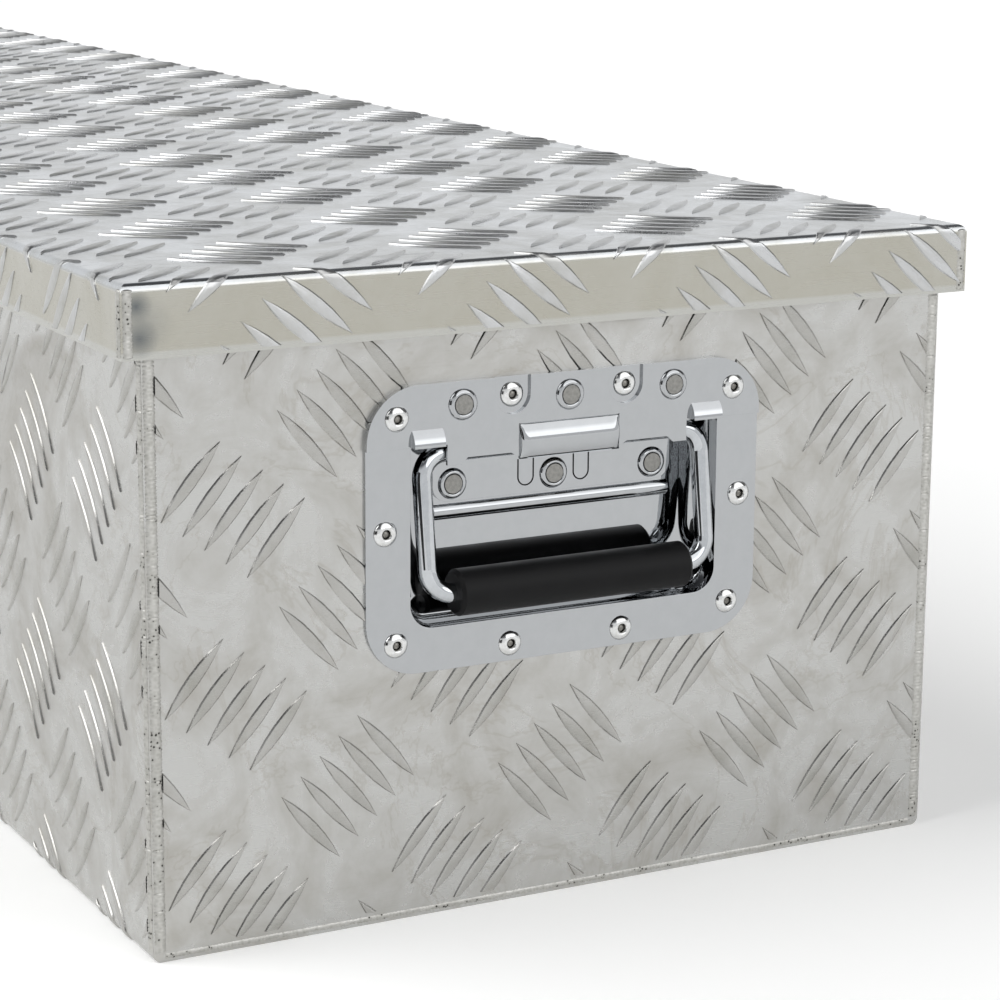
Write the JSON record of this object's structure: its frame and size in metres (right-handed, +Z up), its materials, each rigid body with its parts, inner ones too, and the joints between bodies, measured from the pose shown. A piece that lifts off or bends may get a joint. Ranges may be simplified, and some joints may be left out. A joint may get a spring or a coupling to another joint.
{
  "type": "truck tool box",
  "caption": "Long shallow tread plate chest with a hinged cap lid on gas struts, locks on its front wall and a recessed sprung carrying handle on each end.",
  "frame": {"origin": "middle of the base, on the surface that the box stands on", "axes": "+X along the box to its right end, -Y towards the front with the locks, +Z up"},
  "size_m": [1.2448, 0.3547, 0.2379],
  "materials": {
    "body_plate": "five-bar tread plate, mill finish",
    "lid_plate": "five-bar tread plate, bright mill finish",
    "weld": "rippled seam weld",
    "foam_seal": "closed-cell foam",
    "brace": "mill finish",
    "hinge_steel": "brushed",
    "chrome": "polished chrome plate",
    "spring_steel": "drawn wire",
    "pop_rivet": "bright domed",
    "solid_rivet": "dull",
    "grip_rubber": "moulded satin",
    "strut_black": "black powder coat",
    "strut_chrome": "ground and plated rod",
    "zinc_steel": "zinc plated",
    "lock_steel": "satin stainless",
    "lock_brass": "turned"
  },
  "bodies": {
    "tub": {"floor_panel": "body_plate", "front_wall": "body_plate", "rear_wall": "body_plate", "end_panel_right": "body_plate", "end_panel_left": "body_plate", "body_welds": "weld", "hinge_body_leaf": "hinge_steel", "hinge_pin": "hinge_steel", "hinge_body_rivets": "hinge_steel", "handle_dish_right": "chrome", "handle_dish_left": "chrome", "handle_strap_right": "chrome", "handle_strap_left": "chrome", "handle_bracket_right": "chrome", "handle_bracket_left": "chrome", "handle_spring_right": "spring_steel", "handle_spring_left": "spring_steel", "handle_rivets_right": "pop_rivet", "handle_rivets_left": "pop_rivet", "strap_rivets_right": "solid_rivet", "strap_rivets_left": "solid_rivet", "strut_wall_bracket_right": "zinc_steel", "strut_wall_bracket_left": "zinc_steel", "lock_base_right": "lock_steel", "lock_base_left": "lock_steel", "lock_bolts_right": "lock_steel", "lock_bolts_left": "lock_steel"},
    "lid": {"lid_sheet": "lid_plate", "lid_welds": "weld", "lid_seal": "foam_seal", "lid_braces": "brace", "hinge_lid_leaf": "hinge_steel", "hinge_lid_rivets": "hinge_steel", "strut_lid_bracket_right": "zinc_steel", "strut_lid_bracket_left": "zinc_steel", "lock_striker_right": "zinc_steel", "lock_striker_left": "zinc_steel"},
    "handle_right": {"bail_right": "chrome", "grip_right": "grip_rubber"},
    "handle_left": {"bail_left": "chrome", "grip_left": "grip_rubber"},
    "lock_right": {"lock_handle_right": "lock_steel", "lock_core_right": "lock_brass", "lock_cam_right": "zinc_steel", "lock_nut_right": "zinc_steel"},
    "lock_left": {"lock_handle_left": "lock_steel", "lock_core_left": "lock_brass", "lock_cam_left": "zinc_steel", "lock_nut_left": "zinc_steel"},
    "strut_right": {"strut_tube_right": "strut_black"},
    "rod_right": {"strut_rod_right": "strut_chrome"},
    "strut_left": {"strut_tube_left": "strut_black"},
    "rod_left": {"strut_rod_left": "strut_chrome"}
  },
  "joints": [
    {"name": "lid_hinge", "type": "hinge", "parent": "tub", "child": "lid", "pos_m": [0, 0.1635, 0.208], "axis": [-1, 0, 0], "range_deg": [0, 80]},
    {"name": "handle_swing_right", "type": "hinge", "parent": "tub", "child": "handle_right", "pos_m": [0.6072, 0, 0.16875], "axis": [0, -1, 0], "range_deg": [0, 80], "stiffness_Nm_per_rad": 0.12, "springref_deg": -20.05},
    {"name": "handle_swing_left", "type": "hinge", "parent": "tub", "child": "handle_left", "pos_m": [-0.6072, 0, 0.16875], "axis": [0, 1, 0], "range_deg": [0, 80], "stiffness_Nm_per_rad": 0.12, "springref_deg": -20.05},
    {"name": "lock_turn_right", "type": "hinge", "parent": "tub", "child": "lock_right", "pos_m": [0.35, -0.16, 0.165], "axis": [0, 1, 0], "range_deg": [0, 90]},
    {"name": "lock_turn_left", "type": "hinge", "parent": "tub", "child": "lock_left", "pos_m": [-0.35, -0.16, 0.165], "axis": [0, -1, 0], "range_deg": [0, 90]},
    {"name": "strut_swing_right", "type": "hinge", "parent": "tub", "child": "strut_right", "pos_m": [0.586, 0.11398, 0.10089], "axis": [-1, 0, 0], "range_deg": [0, 40.01]},
    {"name": "strut_slide_right", "type": "slide", "parent": "strut_right", "child": "rod_right", "axis": [0, -0.4876, 0.873], "range_m": [0, 0.0904]},
    {"name": "strut_swing_left", "type": "hinge", "parent": "tub", "child": "strut_left", "pos_m": [-0.586, 0.11398, 0.10089], "axis": [-1, 0, 0], "range_deg": [0, 40.01]},
    {"name": "strut_slide_left", "type": "slide", "parent": "strut_left", "child": "rod_left", "axis": [0, -0.4876, 0.873], "range_m": [0, 0.0904]}
  ],
  "couplings": [
    {"joint": "strut_swing_right", "follows": "lid_hinge", "ratio": 0.5},
    {"joint": "strut_slide_right", "follows": "lid_hinge", "m_per_rad": 0.064653},
    {"joint": "strut_swing_left", "follows": "lid_hinge", "ratio": 0.5},
    {"joint": "strut_slide_left", "follows": "lid_hinge", "m_per_rad": 0.064653}
  ]
}
